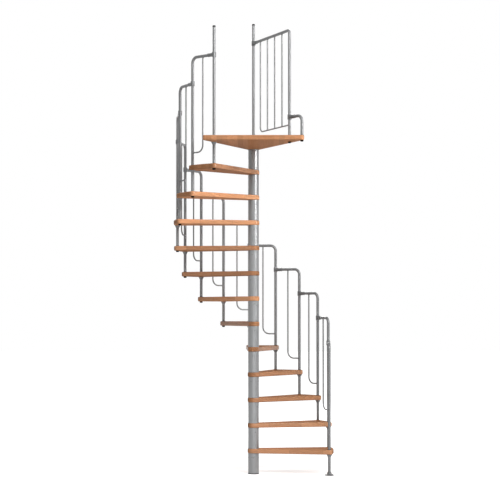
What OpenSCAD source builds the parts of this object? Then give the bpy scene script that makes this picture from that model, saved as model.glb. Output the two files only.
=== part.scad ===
// Spiral staircase: wedge treads threaded on a stacked tube column, with a triangular landing on top and
// a railing of bent tubes round the outside. The stair climbs anticlockwise, seen from above.
// Millimetres, +Z up, with the origin on the floor at the column's axis. -Y is the landing's open side.

/* [Flight] */
// Height from one tread's top to the next
rise = 220; // [190:5:240]
// Treads between the floor and the landing
tread_count = 12; // [9:1:12]
// Turn from one tread to the next
step_angle = 21; // [18:0.5:24]
// Direction of the first post, from +X
first_post_angle = -11.6; // [-30:0.1:30]
// Radius of the circle on which the railing posts stand
post_circle_r = 665; // [560:5:800]

/* [Column] */
// Outside diameter of the column's tubes
column_d = 94; // [70:1:98]
// Wall of the column's tubes
column_wall = 3; // [2:0.5:6]
// Diameter of the base plate on the floor
base_d = 98; // [94:1:140]
// Thickness of the base plate
base_t = 9; // [6:1:16]

/* [Treads] */
// Thickness of the treads and the landing
tread_t = 40; // [30:1:50]
// Diameter of the round end that the column clamps
hub_d = 102; // [100:1:130]
// Radius of a tread's outer corners, round the posts
corner_r = 30; // [24:1:40]
// Rounding of the wood's edges
edge_r = 9; // [4:1:14]
// Play between a post and its hole in the wood
post_play = 0.2; // [0.1:0.1:0.6]

/* [Landing] */
// Turn from the last tread's far post to the middle of the landing
landing_turn = 29.6; // [26:0.2:34]
// How far the landing's front edge stands out past the circle of posts
landing_overhang = 65; // [40:5:120]
// Radius of the landing's front corners, and the wood round its first post
landing_corner_r = 25; // [22:1:32]

/* [Railing] */
// Outside diameter of the posts and rails, one bent tube
post_d = 25; // [20:1:32]
// Bend from post to rail, on the tube's centre line
bend_r = 48; // [40:1:60]
// Diameter of the thin balusters and bars
baluster_d = 12; // [8:1:16]
// Place of a bay's baluster between its own post and the next one
baluster_place_share = 0.48; // [0.4:0.01:0.6]
// Bend from baluster to bar, on the centre line
baluster_bend_r = 58; // [24:1:70]
// Height of a rail above the tread that its post comes through
rail_h = 912; // [800:1:1000]
// Height of a bar above the tread
bar_h = 106; // [70:1:160]

/* [Landing railing] */
// Turn from the middle of the landing to the post of its side panel
panel_turn = 26.9; // [22:0.1:28]
// Height of the side panel's rail above the landing
panel_rail_h = 893; // [800:1:1000]
// Bend from the side panel's post to its rail, on the centre line
panel_bend_r = 32; // [26:1:60]
// Height of the side panel's bar above the landing
panel_bar_h = 100; // [70:1:160]
// Bend from the side panel's first baluster to its bar, on the centre line
panel_bar_bend_r = 40; // [24:1:60]
// Balusters in the side panel
panel_balusters = 4; // [3:1:6]
// Height of the low rail at the landing's corner
low_rail_h = 165; // [110:1:240]
// How far the low rail's post stands sideways from the middle of the corner's rounding
corner_post_out = 6; // [0:1:7]
// Height of the newel post above the landing
newel_h = 1063; // [980:1:1200]
// Height of the landing's first post above the landing
landing_post_h = 936; // [880:1:1100]

/* [Fittings] */
// Width of the tapered collar under a tread
collar_d = 46; // [36:1:60]
// Height of that collar
collar_h = 22; // [12:1:36]
// Diameter of the plug under a post's lower end, and on a bare top
cap_d = 27; // [26:1:36]
// Height of the plug
cap_h = 13; // [4:1:16]
// Diameter of the first post's foot
foot_d = 76; // [60:1:100]
// Thickness of the foot's flange
foot_t = 9; // [5:1:14]
// Width of the foot's neck where it rises from the flange
foot_neck_d = 44; // [36:1:56]
// Height of the whole foot
foot_h = 32; // [20:1:50]
// Diameter of the ring that holds a rail's end to the next post
ring_d = 34; // [30:1:42]
// Height of the ring
ring_h = 40; // [24:1:44]
// Width of the socket's mouth, round the rail
socket_mouth_d = 28; // [27:1:36]
// Length of the socket, from the post's axis to its mouth
socket_l = 66; // [36:1:70]

/* [Hidden] */
$fn = 64;
overrun = 1;
wood = "#c98c5c";
steel = "#b4b6b8";
fitting = "#77797b";
plug = "#2b2a29";

// Facets round a board's corner, and over a quarter of its rounded edge
corner_facets = 32;
edge_facets = 3;
// Round pieces that shape a tread's outer edge, from corner to corner
rim_pieces = 4;
// Straight lip of a collar and of the foot's neck, and the domed part of a plug, of their heights
collar_lip_share = 0.15;
foot_lip_share = 0.12;
cap_crown_share = 0.5;
// Width of a socket at the post's axis, of its ring's diameter
socket_root_share = 0.96;

hub_r = hub_d / 2;
landing_z = rise * (tread_count + 1);
landing_angle = post_angle(tread_count) + landing_turn;
post_hole_d = post_d + 2 * post_play;
chord = 2 * post_circle_r * sin(step_angle / 2);
baluster_out = chord * baluster_place_share;
chord_turn = 90 + step_angle / 2;
socket_floor = ring_d / 2;

// The posts stand at equal turns on one circle: tread k lies between posts k - 1 and k.
function polar(r, angle) = [r * cos(angle), r * sin(angle)];
function post_angle(i) = first_post_angle + step_angle * i;
function post_at(i) = polar(post_circle_r, post_angle(i));
function tread_top(k) = rise * k;
function number(k) = str(k < 10 ? "0" : "", k);

// The landing's side passes its first post and its front corner at the same distance, so the centres of
// both lie on one line. Along the landing's middle line, that line leans out by side_lean.
side_lean = landing_turn - asin((hub_r - landing_corner_r) / post_circle_r);
first_post_out = polar(post_circle_r, landing_turn);
corner_x = post_circle_r + landing_overhang - landing_corner_r;
corner_y = first_post_out[1] + (corner_x - first_post_out[0]) * tan(side_lean);
corner_post_y = corner_y + corner_post_out;

first_landing_post = post_at(tread_count);
panel_post = polar(post_circle_r, landing_angle + panel_turn);
corner_post = polar(norm([corner_x, corner_post_y]), landing_angle + atan2(corner_post_y, corner_x));
panel_bay = post_circle_r / (panel_balusters + 1);
low_rail_l = norm(panel_post - corner_post);
low_rail_angle = atan2(panel_post[1] - corner_post[1], panel_post[0] - corner_post[0]);

// Wood

// Half section of a round board with rounded edges, from its axis out to r.
function board_section(r) = concat(
    [[0, 0]],
    [for (i = [0 : edge_facets]) [r - edge_r, edge_r] + polar(edge_r, -90 + 90 * i / edge_facets)],
    [for (i = [0 : edge_facets]) [r - edge_r, tread_t - edge_r] + polar(edge_r, 90 * i / edge_facets)],
    [[0, tread_t]]
);

module round_board(r) {
    rotate_extrude($fn = corner_facets) polygon(board_section(r));
}

module post_hole(at, z) {
    translate([at[0], at[1], z - overrun]) cylinder(d = post_hole_d, h = tread_t + 2 * overrun);
}

// A wedge from the hub to two round corners, bored for a post at each corner.
module tread(k) {
    underside = tread_top(k) - tread_t;
    color(wood) difference() {
        translate([0, 0, underside]) hull() {
            round_board(hub_r);
            for (i = [0 : rim_pieces - 1])
                translate(post_at(k - 1 + i / (rim_pieces - 1))) round_board(corner_r);
        }
        for (i = [k - 1, k]) post_hole(post_at(i), underside);
    }
}

// A triangle from the hub to the front edge, bored for the newel and three posts.
module landing() {
    underside = landing_z - tread_t;
    color(wood) difference() {
        translate([0, 0, underside]) rotate([0, 0, landing_angle]) hull() {
            round_board(hub_r);
            for (side = [-1, 1]) translate([corner_x, side * corner_y]) round_board(landing_corner_r);
        }
        for (at = [[0, 0], first_landing_post, panel_post, corner_post]) post_hole(at, underside);
    }
}

// Column

module column_base() {
    color(fitting) cylinder(d = base_d, h = base_t);
}

// A length of tube from the top of one hub, or the base plate, to the underside of the next hub.
module column_spacer(k) {
    foot_z = k == 1 ? base_t : tread_top(k - 1);
    color(steel) translate([0, 0, foot_z]) difference() {
        length = tread_top(k) - tread_t - foot_z;
        cylinder(d = column_d, h = length);
        translate([0, 0, -overrun]) cylinder(d = column_d - 2 * column_wall, h = length + 2 * overrun);
    }
}

// Railing

// A round bar from the origin along +X.
module bar(d, l) {
    rotate([0, 90, 0]) cylinder(d = d, h = l);
}

// A quarter bend: it leaves the origin along +Z and ends along +X.
module elbow(d, r) {
    translate([r, 0, 0]) rotate([90, 0, 0]) rotate([0, 0, 90])
        rotate_extrude(angle = 90) translate([r, 0]) circle(d = d);
}

// A post that bends over by radius r into a rail along +X, standing on the Z axis.
module bent_post(bottom, rail_z, l, r) {
    translate([0, 0, bottom]) cylinder(d = post_d, h = rail_z - r - bottom);
    translate([0, 0, rail_z - r]) elbow(post_d, r);
    translate([r, 0, rail_z]) bar(post_d, l - r - socket_floor);
}

// Thin balusters under a rail at equal bays. The last one bends back by radius r to the post as a bar.
module balusters(count, bay, bar_z, rail_z, r) {
    for (i = [1 : 1 : count - 1])
        translate([i * bay, 0, bar_z]) cylinder(d = baluster_d, h = rail_z - bar_z);
    translate([count * bay, 0, bar_z + r]) {
        cylinder(d = baluster_d, h = rail_z - bar_z - r);
        rotate([0, 180, 0]) elbow(baluster_d, r);
    }
    translate([0, 0, bar_z]) bar(baluster_d, count * bay - r);
}

// The post comes up through tread k's near corner and its rail runs to the next post.
module railing(k) {
    bottom = k == 1 ? foot_t : tread_top(k - 1) - tread_t;
    color(steel) translate(post_at(k - 1)) rotate([0, 0, post_angle(k - 1) + chord_turn]) {
        bent_post(bottom, tread_top(k) + rail_h, chord, bend_r);
        balusters(1, baluster_out, tread_top(k) + bar_h, tread_top(k) + rail_h, baluster_bend_r);
    }
}

module landing_post() {
    bottom = tread_top(tread_count) - tread_t;
    color(steel) translate([first_landing_post[0], first_landing_post[1], bottom])
        cylinder(d = post_d, h = landing_z + landing_post_h - cap_h - bottom);
}

module newel_post() {
    color(steel) translate([0, 0, landing_z - tread_t]) cylinder(d = post_d, h = tread_t + newel_h - cap_h);
}

// Side panel of the landing, from its own post to the newel.
module landing_panel() {
    rail_z = landing_z + panel_rail_h;
    color(steel) translate(panel_post) rotate([0, 0, landing_angle + panel_turn + 180]) {
        bent_post(landing_z - tread_t, rail_z, post_circle_r, panel_bend_r);
        balusters(panel_balusters, panel_bay, landing_z + panel_bar_h, rail_z, panel_bar_bend_r);
    }
}

// Low rail at the landing's front corner.
module corner_loop() {
    color(steel) translate(corner_post) rotate([0, 0, low_rail_angle])
        bent_post(landing_z - tread_t, landing_z + low_rail_h, low_rail_l, bend_r);
}

// Fittings

// Flange on the floor with a tapered neck that holds the first post.
module floor_foot() {
    lip = foot_lip_share * foot_h;
    color(fitting) translate(post_at(0)) difference() {
        union() {
            cylinder(d = foot_d, h = foot_t);
            translate([0, 0, foot_t]) cylinder(d1 = foot_neck_d, d2 = ring_d, h = foot_h - foot_t - lip);
            translate([0, 0, foot_h - lip]) cylinder(d = ring_d, h = lip);
        }
        translate([0, 0, foot_t]) cylinder(d = post_d, h = foot_h);
    }
}

// Tapered collars that carry the treads and the landing on the posts coming up from below.
module post_collars() {
    lip = collar_lip_share * collar_h;
    color(fitting) for (k = [1 : tread_count + 1]) {
        at = post_at(k - 1);
        translate([at[0], at[1], tread_top(k) - tread_t - collar_h]) difference() {
            union() {
                cylinder(d1 = cap_d, d2 = collar_d, h = collar_h - lip);
                translate([0, 0, collar_h - lip]) cylinder(d = collar_d, h = lip);
            }
            translate([0, 0, -overrun]) cylinder(d = post_d, h = collar_h + 2 * overrun);
        }
    }
}

// A domed plug with its flat on the XY plane.
module post_cap() {
    crown = cap_crown_share * cap_h;
    cylinder(d = cap_d, h = cap_h - crown);
    translate([0, 0, cap_h - crown]) cylinder(d1 = cap_d, d2 = cap_d - 2 * crown, h = crown);
}

// Plugs under the posts' lower ends, and on the two posts whose tops are bare.
module post_caps() {
    below = concat(
        [for (k = [1 : tread_count]) [post_at(k), tread_top(k) - tread_t]],
        [for (at = [panel_post, corner_post]) [at, landing_z - tread_t]]
    );
    above = [
        [first_landing_post, landing_z + landing_post_h - cap_h],
        [[0, 0], landing_z + newel_h - cap_h]
    ];
    color(plug) {
        for (p = below) translate([p[0][0], p[0][1], p[1]]) mirror([0, 0, 1]) post_cap();
        for (p = above) translate([p[0][0], p[0][1], p[1]]) post_cap();
    }
}

// A ring round a post with a tapered socket for the rail that arrives along +X.
module rail_socket() {
    difference() {
        union() {
            translate([0, 0, -ring_h / 2]) cylinder(d = ring_d, h = ring_h);
            rotate([0, -90, 0]) cylinder(d1 = socket_root_share * ring_d, d2 = socket_mouth_d, h = socket_l);
        }
        translate([0, 0, -ring_h]) cylinder(d = post_d, h = 2 * ring_h);
        translate([-socket_l - overrun, 0, 0]) bar(post_d, socket_l + overrun - socket_floor);
    }
}

module rail_sockets() {
    color(fitting) {
        for (k = [1 : tread_count]) {
            at = post_at(k);
            translate([at[0], at[1], tread_top(k) + rail_h])
                rotate([0, 0, post_angle(k - 1) + chord_turn]) rail_socket();
        }
        translate([0, 0, landing_z + panel_rail_h]) rotate([0, 0, landing_angle + panel_turn + 180])
            rail_socket();
        translate([panel_post[0], panel_post[1], landing_z + low_rail_h]) rotate([0, 0, low_rail_angle])
            rail_socket();
    }
}

column_base();
for (k = [1 : tread_count + 1])
    column_spacer(k);
for (k = [1 : tread_count]) {
    tread(k);
    railing(k);
}
landing();
landing_post();
newel_post();
landing_panel();
corner_loop();
floor_foot();
post_collars();
post_caps();
rail_sockets();
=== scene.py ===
import math

import bmesh
import bpy
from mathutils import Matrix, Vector


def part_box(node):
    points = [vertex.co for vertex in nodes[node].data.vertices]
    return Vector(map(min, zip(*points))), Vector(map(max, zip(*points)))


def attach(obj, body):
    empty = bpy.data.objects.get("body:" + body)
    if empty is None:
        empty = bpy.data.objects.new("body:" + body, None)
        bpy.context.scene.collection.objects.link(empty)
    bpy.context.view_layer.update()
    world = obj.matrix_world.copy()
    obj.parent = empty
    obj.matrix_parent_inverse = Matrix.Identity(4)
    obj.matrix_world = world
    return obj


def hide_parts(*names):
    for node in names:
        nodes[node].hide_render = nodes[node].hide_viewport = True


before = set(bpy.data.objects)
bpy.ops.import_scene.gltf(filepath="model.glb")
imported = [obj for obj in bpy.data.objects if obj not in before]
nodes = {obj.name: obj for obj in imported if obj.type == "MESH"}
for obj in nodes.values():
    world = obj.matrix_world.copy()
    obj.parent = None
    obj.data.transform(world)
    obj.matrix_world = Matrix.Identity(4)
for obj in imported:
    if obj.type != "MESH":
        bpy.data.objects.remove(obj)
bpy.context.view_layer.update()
scene = bpy.context.scene
scene.view_settings.view_transform = "Standard"


# Studio. A white floor with no edge in sight. Large soft lamps stand high in front, on both sides and
# behind, with a narrow one for the upper railing and a weak one low in front. The camera is 12.5 m off.
class Wire:
    """An output socket in a node tree. Sums on it add Math nodes, and add() makes any other node."""

    def __init__(self, tree, socket=None):
        self.tree = tree
        self.socket = socket

    def add(self, kind, settings=None, sockets=None, out=0):
        node = self.tree.nodes.new("ShaderNode" + kind)
        for name, value in (settings or {}).items():
            setattr(node, name, value)
        for name, value in (sockets or {}).items():
            if isinstance(value, Wire):
                self.tree.links.new(value.socket, node.inputs[name])
            else:
                node.inputs[name].default_value = value
        return Wire(self.tree, node.outputs[out] if len(node.outputs) else None)

    def sum(self, operation, *values):
        return self.add("Math", {"operation": operation}, dict(enumerate(values)))

    def ramp(self, low, high, start=0.0, end=1.0):
        """Goes smoothly from start to end while this value goes from low to high."""
        return self.add("MapRange", {"interpolation_type": "SMOOTHSTEP"},
                        {0: self, 1: low, 2: high, 3: start, 4: end})

    def __add__(self, other):
        return self.sum("ADD", self, other)

    def __radd__(self, other):
        return self.sum("ADD", other, self)

    def __sub__(self, other):
        return self.sum("SUBTRACT", self, other)

    def __rsub__(self, other):
        return self.sum("SUBTRACT", other, self)

    def __mul__(self, other):
        return self.sum("MULTIPLY", self, other)

    def __rmul__(self, other):
        return self.sum("MULTIPLY", other, self)

    def __truediv__(self, other):
        return self.sum("DIVIDE", self, other)

    def __pow__(self, other):
        return self.sum("POWER", self, other)


def new_material(name):
    material = bpy.data.materials.new(name)
    material.use_nodes = True
    material.node_tree.nodes.clear()
    return material, Wire(material.node_tree)


def seen_white(wire):
    """1 for the rays in which the white studio shows: to the camera, and in gloss and glass."""
    camera = wire.add("LightPath", out="Is Camera Ray")
    glossy = wire.add("LightPath", out="Is Glossy Ray")
    through = wire.add("LightPath", out="Is Transmission Ray")
    return wire.sum("MAXIMUM", wire.sum("MAXIMUM", camera, glossy), through)


floor_half = 40
floor_cuts = 7
floor_grey = 0.9
near_glow = 0.6
near_r = 1.5
far_r = 6.0
ambient = 0.12

bpy.ops.object.select_all(action="DESELECT")
bpy.ops.mesh.primitive_plane_add(size=2 * floor_half)
floor = bpy.context.object
floor.name = "studio_floor"
bpy.ops.object.mode_set(mode="EDIT")
bpy.ops.mesh.subdivide(number_cuts=floor_cuts)
bpy.ops.object.mode_set(mode="OBJECT")
material, wire = new_material("white_floor")
paper = wire.add("BsdfDiffuse", {}, {"Color": (floor_grey, floor_grey, floor_grey, 1)})
place = wire.add("TexCoord", out="Object")
out_r = wire.add("VectorMath", {"operation": "LENGTH"}, {0: place}, out="Value")
glow = wire.add("Emission", {}, {"Strength": out_r.ramp(near_r, far_r, near_glow, 1.0) * seen_white(wire)})
wire.add("OutputMaterial", {}, {"Surface": wire.add("AddShader", {}, {0: paper, 1: glow})})
floor.data.materials.append(material)

world = bpy.data.worlds.new("white_studio")
scene.world = world
world.use_nodes = True
world.node_tree.nodes.clear()
wire = Wire(world.node_tree)
room = wire.add("Background", {}, {"Color": (1, 1, 1, 1), "Strength": ambient})
backdrop = wire.add("Background", {}, {"Color": (1, 1, 1, 1), "Strength": 1.0})
all_round = wire.add("MixShader", {}, {0: seen_white(wire), 1: room, 2: backdrop})
wire.add("OutputWorld", {}, {"Surface": all_round})


def soft_lamp(name, place, aim_z, width, height, watts, spread=180):
    """A lamp that is turned towards the column's axis, at the height aim_z."""
    bpy.ops.object.light_add(type="AREA", location=place)
    lamp = bpy.context.object
    lamp.name = name
    lamp.rotation_euler = (Vector((0, 0, aim_z)) - Vector(place)).to_track_quat("-Z", "Y").to_euler()
    lamp.data.shape = "RECTANGLE"
    lamp.data.size = width
    lamp.data.size_y = height
    lamp.data.energy = watts
    lamp.data.spread = math.radians(spread)


soft_lamp("front_lamp", (3.0, -6.5, 6.0), aim_z=2.0, width=3.0, height=2.0, watts=380)
soft_lamp("right_lamp", (6.2, -3.5, 5.0), aim_z=2.5, width=2.0, height=3.0, watts=160)
soft_lamp("left_lamp", (-3.5, -4.5, 8.0), aim_z=2.5, width=3.0, height=3.0, watts=100)
soft_lamp("side_lamp", (5.9, -4.6, 4.2), aim_z=3.3, width=1.2, height=3.2, watts=21, spread=46)
soft_lamp("low_lamp", (0.8, -7.9, 0.6), aim_z=0.3, width=7.0, height=1.6, watts=6, spread=50)
soft_lamp("back_lamp", (-1.0, 8.5, 5.0), aim_z=2.0, width=4.0, height=3.0, watts=260)

eye = Vector((0.0203, -12.5, 1.3906))
aim = Vector((-0.0306, 0.0, 1.7259))
bpy.ops.object.camera_add(location=eye)
camera = bpy.context.object
camera.rotation_euler = (aim - eye).to_track_quat("-Z", "Y").to_euler()
camera.data.sensor_width = 36
camera.data.lens = 103.32
camera.data.shift_y = 0.05
camera.data.clip_end = 200
scene.camera = camera


# Column. A plate on the floor and thirteen lengths of silver-painted steel tube, stacked between the
# treads' round ends and pulled tight by a rod inside. A rolled bead shows wherever a tube meets a tread or
# the landing, and four grub screws sit a little below each of those boards.
def surface(wire, sockets):
    skin = wire.add("BsdfPrincipled", {}, sockets, out="BSDF")
    wire.add("OutputMaterial", {}, {"Surface": skin})


def shaded(colour, light):
    """A colour made lighter or darker by a value that changes over the surface."""
    grey = light.add("CombineColor", {}, {0: light, 1: light, 2: light})
    return light.add("Mix", {"data_type": "RGBA", "blend_type": "MULTIPLY"},
                     {0: 1.0, 6: colour, 7: grey}, out=2)


def grey_finish(name, tone, roughness, metallic, gloss):
    """Paint, steel or plastic in one tone: fine flakes, faint upright streaks, and a slight orange peel."""
    material, wire = new_material(name)
    place = wire.add("TexCoord", out="Object")
    stretched = wire.add("Mapping", {}, {"Vector": place, "Scale": (1, 1, 0.012)})
    flakes = wire.add("TexNoise", {}, {"Vector": place, "Scale": 2600.0, "Detail": 2.0}) - 0.5
    clouds = wire.add("TexNoise", {}, {"Vector": place, "Scale": 9.0, "Detail": 4.0}) - 0.5
    drawn = wire.add("TexNoise", {}, {"Vector": stretched, "Scale": 520.0, "Detail": 2.0}) - 0.5
    peel = wire.add("TexNoise", {}, {"Vector": place, "Scale": 700.0, "Detail": 1.0})
    colour = shaded(tone, 1 + flakes * 0.18 + clouds * 0.12 + drawn * 0.04)
    bump = wire.add("Bump", {}, {"Strength": 0.12, "Distance": 0.0004, "Height": peel})
    surface(wire, {"Base Color": colour, "Metallic": metallic, "Normal": bump, "Specular IOR Level": gloss,
                   "Roughness": roughness + clouds * 0.16 + drawn * 0.04})
    return material


def select_only(*pieces):
    """Selects these pieces and nothing else, with the first one active."""
    bpy.ops.object.select_all(action="DESELECT")
    for piece in pieces:
        piece.select_set(True)
    bpy.context.view_layer.objects.active = pieces[0]


def smooth_off(piece):
    """Leaves the selected piece at the origin, smooth between its edges."""
    sharp_angle = 40
    bpy.ops.object.mode_set(mode="OBJECT")
    bpy.ops.object.transform_apply()
    bpy.ops.object.shade_smooth_by_angle(angle=math.radians(sharp_angle))
    even = piece.modifiers.new("even", "WEIGHTED_NORMAL")
    even.keep_sharp = True
    bpy.ops.object.modifier_apply(modifier="even")


def turned(profile, solid=False, sides=40):
    """A piece turned on the Z axis from (radius, height) points in mm, with a bore unless it is solid."""
    (r, h), *rest = [(r / 1000, h / 1000) for r, h in profile]
    bpy.ops.object.select_all(action="DESELECT")
    bpy.ops.mesh.primitive_circle_add(vertices=sides, radius=r, location=(0, 0, h))
    piece = bpy.context.object
    bpy.ops.object.mode_set(mode="EDIT")
    bpy.ops.mesh.select_mode(type="EDGE")
    bpy.ops.mesh.select_all(action="SELECT")
    for next_r, next_h in rest:
        bpy.ops.mesh.extrude_edges_move(TRANSFORM_OT_translate={"value": (0, 0, next_h - h)})
        bpy.ops.transform.resize(value=(next_r / r, next_r / r, 1), center_override=(0, 0, next_h))
        r, h = next_r, next_h
    bpy.ops.mesh.select_all(action="SELECT")
    if solid:
        bpy.ops.mesh.fill_holes(sides=0)
    else:
        bpy.ops.mesh.region_to_loop()
        bpy.ops.mesh.bridge_edge_loops()
    bpy.ops.mesh.select_all(action="SELECT")
    bpy.ops.mesh.normals_make_consistent(inside=False)
    smooth_off(piece)
    return piece


def copied(pattern, place, turn):
    """A copy of a piece, turned and then moved to its place."""
    select_only(pattern)
    bpy.ops.object.duplicate()
    copy = bpy.context.object
    copy.location = place
    copy.rotation_euler = turn
    bpy.ops.object.transform_apply()
    return copy


def set_out(pattern, name, places):
    """Copies of a pattern at the given places and turns, joined as one piece. The pattern itself goes."""
    copies = [copied(pattern, place, turn) for place, turn in places]
    bpy.data.objects.remove(pattern)
    select_only(*copies)
    if len(copies) > 1:
        bpy.ops.object.join()
    copies[0].name = name
    return copies[0]


def dress(piece, material, slot, *replaced):
    piece.data.materials.clear()
    piece.data.materials.append(material)
    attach(piece, "root")
    if replaced:
        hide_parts(*replaced)


def screw(r, proud):
    """A screw head with a bevelled rim and a round socket, standing proud of the XY plane."""
    shank = 0.004
    rim_w = 0.12 * r
    rim_h = 0.1 * r
    land_w = 0.34 * r
    wall_w = 0.05 * r
    socket_depth = 0.4 * r
    bpy.ops.object.select_all(action="DESELECT")
    bpy.ops.mesh.primitive_cylinder_add(vertices=24, radius=r, depth=shank,
                                        location=(0, 0, proud - shank / 2))
    head = bpy.context.object
    bpy.ops.object.mode_set(mode="EDIT")
    bpy.ops.mesh.select_mode(type="FACE")
    bpy.ops.mesh.select_all(action="DESELECT")
    mesh = bmesh.from_edit_mesh(head.data)
    for face in mesh.faces:
        face.select_set(face.normal.z > 0.9)
    bmesh.update_edit_mesh(head.data)
    bpy.ops.mesh.inset(thickness=rim_w)
    bpy.ops.transform.translate(value=(0, 0, rim_h))
    bpy.ops.mesh.inset(thickness=land_w)
    bpy.ops.mesh.inset(thickness=wall_w)
    bpy.ops.transform.translate(value=(0, 0, -socket_depth))
    smooth_off(head)
    return head


def middle(node):
    low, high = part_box(node)
    return (low + high) / 2


def bearing(place):
    """Angle of a place round the column, in degrees."""
    return math.degrees(math.atan2(place.y, place.x))


def polar(r, angle):
    return r * math.cos(math.radians(angle)), r * math.sin(math.radians(angle))


def facing(angle):
    """The turn that lays a piece's Z axis level, pointing at an angle."""
    return 0, math.pi / 2, math.radians(angle)


tread_low, tread_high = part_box("tread_01")
tread_count = sum(name.startswith("tread_") for name in nodes)
rise = tread_high.z
tread_t = tread_high.z - tread_low.z
column_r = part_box("column_spacer_02")[1].x
first_post = middle("floor_foot")
first_post_angle = bearing(first_post)
step_angle = (bearing(middle("landing_post")) - first_post_angle) % 360 / tread_count
bead_profile = ((46.6, 0), (47.9, 0), (48.4, 0.5), (48.6, 1.5), (48.4, 2.5), (47.9, 3), (46.6, 3))
bead_h = bead_profile[-1][1] / 1000
set_screw_drop = 0.038
set_screw_r = 0.004
set_screw_proud = 0.0004
set_screw_count = 4
upright = (0, 0, 0)


def tread_angle(k):
    """Direction in which the middle of tread k points."""
    return first_post_angle + step_angle * (k - 0.5)


silver_paint = grey_finish("silver_paint", (0.265, 0.268, 0.272, 1),
                           roughness=0.31, metallic=0.52, gloss=0.5)
# The floor plate's dark grey is partly its own paint and partly painted shade, for the shadowed gap along
# the floor.
base_paint_and_shade = grey_finish("base_paint_and_shade", (0.1, 0.102, 0.104, 1), roughness=0.5, metallic=0.2, gloss=0.2)
screw_steel = grey_finish("screw_steel", (0.11, 0.11, 0.112, 1), roughness=0.34, metallic=0.8, gloss=0.5)
for name, node in nodes.items():
    if name.startswith("column_spacer"):
        node.material_slots[0].material = silver_paint
nodes["column_base"].material_slots[0].material = base_paint_and_shade

beads = []
set_screws = []
for k in range(1, tread_count + 2):
    underside = rise * k - tread_t
    beads.append(((0, 0, underside - bead_h), upright))
    if k <= tread_count:
        beads.append(((0, 0, rise * k), upright))
    for i in range(set_screw_count):
        angle = tread_angle(k) + 360 * i / set_screw_count
        set_screws.append(((*polar(column_r, angle), underside - set_screw_drop), facing(angle)))
dress(set_out(turned(bead_profile, sides=64), "column_beads", beads), silver_paint, "steel_tube")
set_screw = screw(set_screw_r, set_screw_proud)
dress(set_out(set_screw, "column_set_screws", set_screws), screw_steel, "fitting")


# Treads. Twelve wedges of edge-glued beech, 40 mm thick, with the corners and all edges rounded over and
# bored for two posts. They are lacquered, and each one has its own boards.
post_circle_r = math.hypot(first_post.x, first_post.y)
post_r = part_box("newel_post")[1].x
post_play = 0.0002
hole_r = post_r + post_play
hole_sides = 48
hole_chamfer = 0.0012
hub_r = -tread_low.x
corner_r = 0.03
corner_sides = 64
rim_discs = 4
edge_r = 0.009
edge_steps = 6
# Each tread's brightness factor: part the tone of its own timber, part painted light and shade.
tread_tone_and_shade = (1.0, 1.0, 0.9, 0.85, 0.8, 0.9, 1.3, 0.75, 0.85, 1.2, 1.2, 0.85)


def post_at(i):
    return polar(post_circle_r, first_post_angle + step_angle * i)


def pick_edges(shape, test):
    """Selects the edges whose two ends both pass the test, given as points of the frame."""
    bpy.ops.mesh.select_mode(type="EDGE")
    bpy.ops.mesh.select_all(action="DESELECT")
    mesh = bmesh.from_edit_mesh(shape.data)
    for edge in mesh.edges:
        edge.select_set(all(test(shape.matrix_world @ corner.co) for corner in edge.verts))
    bmesh.update_edit_mesh(shape.data)


def upright_discs(discs, sides, depth, z):
    """Discs given as (x, y, radius), all in one mesh, which is left in edit mode."""
    bpy.ops.object.select_all(action="DESELECT")
    for index, (x, y, r) in enumerate(discs):
        bpy.ops.mesh.primitive_cylinder_add(vertices=sides, radius=r, depth=depth, location=(x, y, z))
        if index == 0:
            piece = bpy.context.object
            bpy.ops.object.mode_set(mode="EDIT")
    return piece


def combine(piece, tool, operation):
    """Adds a tool's shape to a piece or cuts it out. The tool itself goes."""
    cut = piece.modifiers.new("cut", "BOOLEAN")
    cut.object = tool
    cut.operation = operation
    select_only(piece)
    bpy.ops.object.modifier_apply(modifier="cut")
    bpy.data.objects.remove(tool)


def wooden_board(name, discs, holes, underside):
    """A board drawn tight round some discs, with its edges rounded over, bored for the posts."""
    nearly = 1e-5
    near_hole = hole_r + 1e-4
    flat_angle = 0.4
    mid_z = underside + tread_t / 2
    faces = (underside, underside + tread_t)
    board = upright_discs(discs, corner_sides, tread_t, mid_z)
    board.name = name
    bpy.ops.mesh.select_all(action="SELECT")
    bpy.ops.mesh.convex_hull()
    bpy.ops.mesh.select_all(action="SELECT")
    bpy.ops.mesh.dissolve_limited(angle_limit=math.radians(flat_angle))
    for z in faces:
        pick_edges(board, lambda p: abs(p.z - z) < nearly)
        bpy.ops.mesh.bevel(offset=edge_r, segments=edge_steps, profile=0.5, affect="EDGES",
                           clamp_overlap=False)
    bpy.ops.object.mode_set(mode="OBJECT")
    bpy.ops.object.transform_apply()
    drill = upright_discs([(x, y, hole_r) for x, y in holes], hole_sides, 2 * tread_t, mid_z)
    bpy.ops.object.mode_set(mode="OBJECT")
    combine(board, drill, "DIFFERENCE")
    bpy.ops.object.mode_set(mode="EDIT")
    for z in faces:
        pick_edges(board, lambda p: abs(p.z - z) < nearly and min(
            math.hypot(p.x - x, p.y - y) for x, y in holes) < near_hole)
        bpy.ops.mesh.bevel(offset=hole_chamfer, segments=2, affect="EDGES")
    smooth_off(board)
    return board


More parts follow.
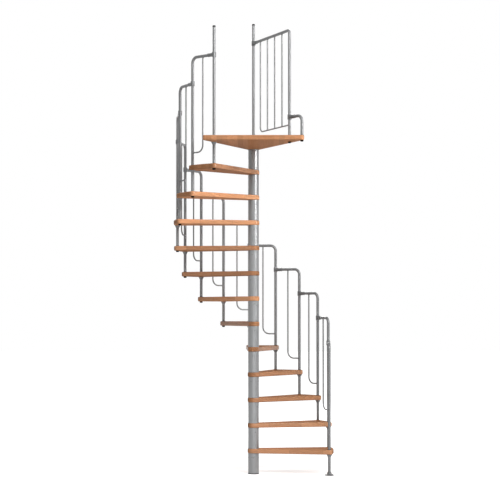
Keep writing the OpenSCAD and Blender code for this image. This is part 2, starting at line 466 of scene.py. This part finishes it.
def beech(name, angle, height, seed, shade):
    """Edge-glued staves along the board's length, with growth rings, fibres and dark flecks in solid."""
    stave_w = 0.043
    ring_w = 0.0034
    pale_beech = (0.55, 0.27, 0.137, 1)
    red_beech = (0.53, 0.243, 0.116, 1)
    material, wire = new_material(name)
    place = wire.add("Mapping", {"vector_type": "TEXTURE"},
                     {"Vector": wire.add("TexCoord", out="Object"), "Location": (0, 0, height),
                      "Rotation": (0, 0, math.radians(angle))})
    lengthwise = wire.add("SeparateXYZ", {}, {0: place}, out=0) + 2.37 * seed
    across = wire.add("SeparateXYZ", {}, {0: place}, out=1) + stave_w * (0.31 * seed % 1)
    up = wire.add("SeparateXYZ", {}, {0: place}, out=2)

    # Each stave has its own tone, and its own place and depth in the log.
    stave = wire.sum("FLOOR", across / stave_w)
    pick = wire.add("TexWhiteNoise", {"noise_dimensions": "1D"}, {"W": stave + 31.7 * seed}, out="Color")
    tone = wire.add("SeparateColor", {}, {0: pick}, out=0)
    turn = wire.add("SeparateColor", {}, {0: pick}, out=1)
    depth = wire.add("SeparateColor", {}, {0: pick}, out=2)
    glue_gap = wire.sum("ABSOLUTE", wire.sum("FRACT", across / stave_w) - 0.5)
    glue = wire.add("MapRange", {}, {0: glue_gap, 1: 0.489, 2: 0.496})

    def streaks(long, wide, detail):
        vector = wire.add("CombineXYZ", {},
                          {0: lengthwise * long + 7 * stave, 1: across * wide, 2: up * wide})
        return wire.add("TexNoise", {},
                        {"Vector": vector, "Scale": 1.0, "Detail": detail, "Roughness": 0.55})

    warp = streaks(1.6, 9.0, 3.0) - 0.5
    side = across - stave * stave_w - stave_w * (3.2 * turn - 1.1) + warp * 0.02
    below = up + 0.012 + 0.09 * depth + warp * 0.012
    rings = wire.sum("FRACT", wire.sum("SQRT", side * side + below * below) / ring_w)
    late = rings ** 3
    fibres = streaks(14.0, 900.0, 3.0) - 0.5
    bands = streaks(3.0, 60.0, 2.0) - 0.5
    flecks = streaks(210.0, 1500.0, 1.0).ramp(0.62, 0.72)

    # The board's two ends are end grain, which is darker and takes little lacquer.
    normal = wire.add("TexCoord", out="Normal")
    endwise = wire.add("VectorMath", {"operation": "DOT_PRODUCT"},
                       {0: normal, 1: (*polar(1, angle), 0)}, out="Value")
    end_grain = wire.sum("ABSOLUTE", endwise).ramp(0.4, 0.95)
    level = wire.sum("ABSOLUTE", wire.add("SeparateXYZ", {}, {0: normal}, out=2))
    lacquer = level.ramp(0.4, 0.9, 0.55, 0.05) * (1 - end_grain * 0.85)

    light = (1 + (tone - 0.5) * 0.26 + bands * 0.22 + fibres * 0.20) * (1 - late * 0.13)
    # One factor per board lightens or darkens it all over: part timber tone, part painted light and shade.
    light = shade * light * (1 - flecks * 0.22) * (1 - glue * 0.25) * (1 - end_grain * 0.14)
    warm = wire.add("Mix", {"data_type": "RGBA"}, {0: turn, 6: pale_beech, 7: red_beech}, out=2)
    relief = fibres * 0.5 - flecks * 0.6 - late * 0.15 - glue
    bump = wire.add("Bump", {}, {"Strength": 0.25, "Distance": 0.0004, "Height": relief})
    surface(wire, {"Base Color": shaded(warm, light), "Roughness": 0.6 + fibres * 0.2 + flecks * 0.12,
                   "Normal": bump, "Specular IOR Level": 0.0, "Coat Weight": lacquer,
                   "Coat Roughness": 0.15})
    return material


rim = [(*post_at(i / (rim_discs - 1)), corner_r) for i in range(rim_discs)]
treads = [wooden_board("beech_tread_01", [(0, 0, hub_r)] + rim, [post_at(0), post_at(1)], rise - tread_t)]
for k in range(2, tread_count + 1):
    tread = copied(treads[0], (0, 0, rise * (k - 1)), (0, 0, math.radians(step_angle * (k - 1))))
    tread.name = f"beech_tread_{k:02d}"
    treads.append(tread)
for k, tread in enumerate(treads, 1):
    wood = beech(f"beech_{k:02d}", tread_angle(k), rise * k - tread_t / 2, k, tread_tone_and_shade[k - 1])
    dress(tread, wood, "beech", f"tread_{k:02d}")


# Landing. A triangle of the same glued beech, with a straight front edge towards the upper floor, bored for
# the newel on the column's axis and for three posts.
landing_low, landing_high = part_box("landing")
landing_z = landing_high.z
landing_angle = -90
landing_corner_r = 0.025
landing_seed = tread_count + 1
landing_shade = 1.0
panel_turn = 26.9
corner_post_out = 0.006

corner_x = landing_high.x - landing_corner_r
corner_y = landing_low.y + landing_corner_r
panel_post = polar(post_circle_r, landing_angle + panel_turn)
corner_post = (corner_x + corner_post_out, corner_y)
landing_holes = [(0, 0), post_at(tread_count), panel_post, corner_post]

landing = wooden_board(
    "beech_landing",
    [(0, 0, hub_r), (-corner_x, corner_y, landing_corner_r), (corner_x, corner_y, landing_corner_r)],
    landing_holes,
    landing_z - tread_t)
landing_wood = beech("beech_landing", landing_angle, landing_z - tread_t / 2, landing_seed, landing_shade)
dress(landing, landing_wood, "beech", "landing")


# Railing. Bent steel tubes, each a post that turns over into a rail, with thin balusters welded under it.
# They are painted a darker grey than the column, and so are the two straight posts at the landing. A small
# bead of weld shows at each end of a baluster or bar.
rail_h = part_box("railing_01")[1].z - post_r - rise
bar_h = 0.106
panel_rail_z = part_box("landing_panel")[1].z - post_r
panel_bar_h = 0.1
panel_bar_z = landing_z + panel_bar_h
panel_balusters = 4
baluster_place_share = 0.48
baluster_r = 0.006
weld_profile = ((5.9, -15.2), (6.9, -14.6), (8.1, -13.2), (8.5, -11), (8.3, -8), (5.9, -8))
upturned = (math.pi, 0, 0)

chord = 2 * post_circle_r * math.sin(math.radians(step_angle / 2))
panel_way = landing_angle + panel_turn + 180
rail_paint = grey_finish("rail_paint", (0.195, 0.1975, 0.201, 1), roughness=0.31, metallic=0.22, gloss=0.45)
for name, node in nodes.items():
    if name.startswith("railing") or name in ("landing_post", "newel_post", "landing_panel", "corner_loop"):
        node.material_slots[0].material = rail_paint


def rail_way(k):
    """Direction of the rail that runs from post k - 1 to post k."""
    return tread_angle(k) + 90


def place_from(start, way, distance):
    """The place at a distance from a start, in a direction."""
    x, y = polar(distance, way)
    return start[0] + x, start[1] + y


welds = []
for k in range(1, tread_count + 1):
    start = post_at(k - 1)
    way = rail_way(k)
    welds.append(((*place_from(start, way, chord * baluster_place_share), rise * k + rail_h), upright))
    welds.append(((*start, rise * k + bar_h), facing(way + 180)))
welds.append(((*panel_post, panel_bar_z), facing(panel_way + 180)))
for i in range(1, panel_balusters + 1):
    at = place_from(panel_post, panel_way, i * post_circle_r / (panel_balusters + 1))
    welds.append(((*at, panel_rail_z), upright))
    if i < panel_balusters:
        welds.append(((*at, panel_bar_z - post_r + baluster_r), upturned))
dress(set_out(turned(weld_profile, sides=24), "weld_beads", welds), rail_paint, "steel_tube")


# Foot. A casting on the floor with a flared neck round the first post, painted a darker grey than the rail.
# Three screws through its flange hold it down.
foot_profile = ((12.5, 0), (37.2, 0), (38, 0.8), (38, 6.6), (37.2, 8.2), (34, 9.2), (28, 10.2), (23.6, 12),
                (21, 15), (19, 20), (17.6, 26), (17, 29), (17, 31.2), (16.4, 32), (12.5, 32))
foot_screw_out = 0.0305
foot_screw_r = 0.0045
foot_screw_z = 0.0098
foot_screw_proud = 0.0012
foot_screw_turns = (-90, 30, 150)

fitting_paint = grey_finish("fitting_paint", (0.16, 0.162, 0.165, 1),
                            roughness=0.36, metallic=0.3, gloss=0.4)
foot = set_out(turned(foot_profile, sides=64), "cast_foot", [((*post_at(0), 0), upright)])
dress(foot, fitting_paint, "fitting", "floor_foot")
foot_screws = [((*place_from(post_at(0), turn, foot_screw_out), foot_screw_z), (0, 0, math.radians(turn)))
               for turn in foot_screw_turns]
foot_screw = screw(foot_screw_r, foot_screw_proud)
dress(set_out(foot_screw, "foot_screws", foot_screws), screw_steel, "fitting")


# Collars. Tapered castings pushed up the posts, one under the outer corner of each tread and one under the
# landing, which they carry from below. They are painted like the railing.
collar_profile = ((12.5, 0), (13.1, 0), (13.6, 0.4), (16.2, 5.6), (19.4, 12.4), (22.3, 17.8), (23, 19),
                  (23, 21.3), (22.4, 22), (12.5, 22))
collar_h = collar_profile[-1][1] / 1000
collars = [((*post_at(k - 1), rise * k - tread_t - collar_h), upright) for k in range(1, tread_count + 2)]
dress(set_out(turned(collar_profile), "cast_collars", collars), rail_paint, "fitting", "post_collars")


# Sockets. Each rail's end sits in a tapered socket with a rolled lip, cast in one with a ring round the
# next post. One grub screw holds the ring, and another the rail from below.
ring_profile = ((15.8, -20), (16.7, -19.6), (17, -18.8), (17, 18.8), (16.7, 19.6), (15.8, 20))
sleeve_profile = ((16.32, 0), (14.3, 57), (15, 58.4), (15.3, 60), (15.3, 63.6), (14.9, 65.3), (14, 66))
socket_sides = 48
ring_r = max(r for r, h in ring_profile) / 1000
ring_drill_l = 0.1
rail_drill_l = sleeve_profile[-1][1] / 1000
sleeve_turn = (0, -math.pi / 2, 0)
sleeve_screw_at = 0.044
sleeve_r = 0.0148
socket_screw_r = 0.0038
socket_screw_proud = 0.0004
low_rail_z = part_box("corner_loop")[1].z - post_r

socket = turned(ring_profile, solid=True, sides=socket_sides)
sleeve = turned(sleeve_profile, solid=True, sides=socket_sides)
combine(socket, set_out(sleeve, "sleeve", [((0, 0, 0), sleeve_turn)]), "UNION")
bpy.ops.object.select_all(action="DESELECT")
bpy.ops.mesh.primitive_cylinder_add(vertices=socket_sides, radius=post_r, depth=ring_drill_l)
combine(socket, bpy.context.object, "DIFFERENCE")
bpy.ops.object.select_all(action="DESELECT")
bpy.ops.mesh.primitive_cylinder_add(vertices=socket_sides, radius=post_r, depth=rail_drill_l,
                                    location=(-ring_r - rail_drill_l / 2, 0, 0),
                                    rotation=facing(0))
combine(socket, bpy.context.object, "DIFFERENCE")
smooth_off(socket)

low_way = bearing(Vector(panel_post) - Vector(corner_post))
rail_ends = [(post_at(k), rail_way(k), rise * k + rail_h) for k in range(1, tread_count + 1)]
rail_ends.append(((0, 0), panel_way, panel_rail_z))
rail_ends.append((panel_post, low_way, low_rail_z))
sockets = []
socket_screws = []
for at, way, z in rail_ends:
    sockets.append(((*at, z), (0, 0, math.radians(way))))
    socket_screws.append(((*place_from(at, way - 90, ring_r), z), facing(way - 90)))
    socket_screws.append(((*place_from(at, way + 180, sleeve_screw_at), z - sleeve_r), upturned))
dress(set_out(socket, "cast_sockets", sockets), fitting_paint, "fitting", "rail_sockets")
socket_screw = screw(socket_screw_r, socket_screw_proud)
dress(set_out(socket_screw, "socket_screws", socket_screws), screw_steel, "fitting")


# Plugs. Black plastic plugs close the posts' lower ends and the two bare tops, and a thin black gasket lies
# round each post where it leaves the wood.
plug_profile = ((13.5, 0), (13.5, 6), (13, 8.6), (11.6, 10.8), (9.2, 12.2), (5.6, 12.9), (2, 13))
gasket_profile = ((12.5, 0), (15.7, 0), (16, 0.3), (15.8, 1.4), (15, 2.2), (13.2, 2.6), (12.5, 2.6))

plug_plastic = grey_finish("plug_plastic", (0.004, 0.004, 0.004, 1),
                           roughness=0.6, metallic=0.0, gloss=0.05)
plugs = [((*post_at(k), rise * k - tread_t), upturned) for k in range(1, tread_count + 1)]
plugs += [((*at, landing_z - tread_t), upturned) for at in (panel_post, corner_post)]
plugs.append(((*post_at(tread_count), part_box("landing_post")[1].z), upright))
plugs.append(((0, 0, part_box("newel_post")[1].z), upright))
dress(set_out(turned(plug_profile, solid=True), "post_plugs", plugs), plug_plastic, "plug", "post_caps")
gaskets = [((*post_at(i), rise * k), upright) for k in range(1, tread_count + 1) for i in (k - 1, k)]
gaskets += [((*at, landing_z), upright) for at in landing_holes]
dress(set_out(turned(gasket_profile), "post_gaskets", gaskets), plug_plastic, "plug")
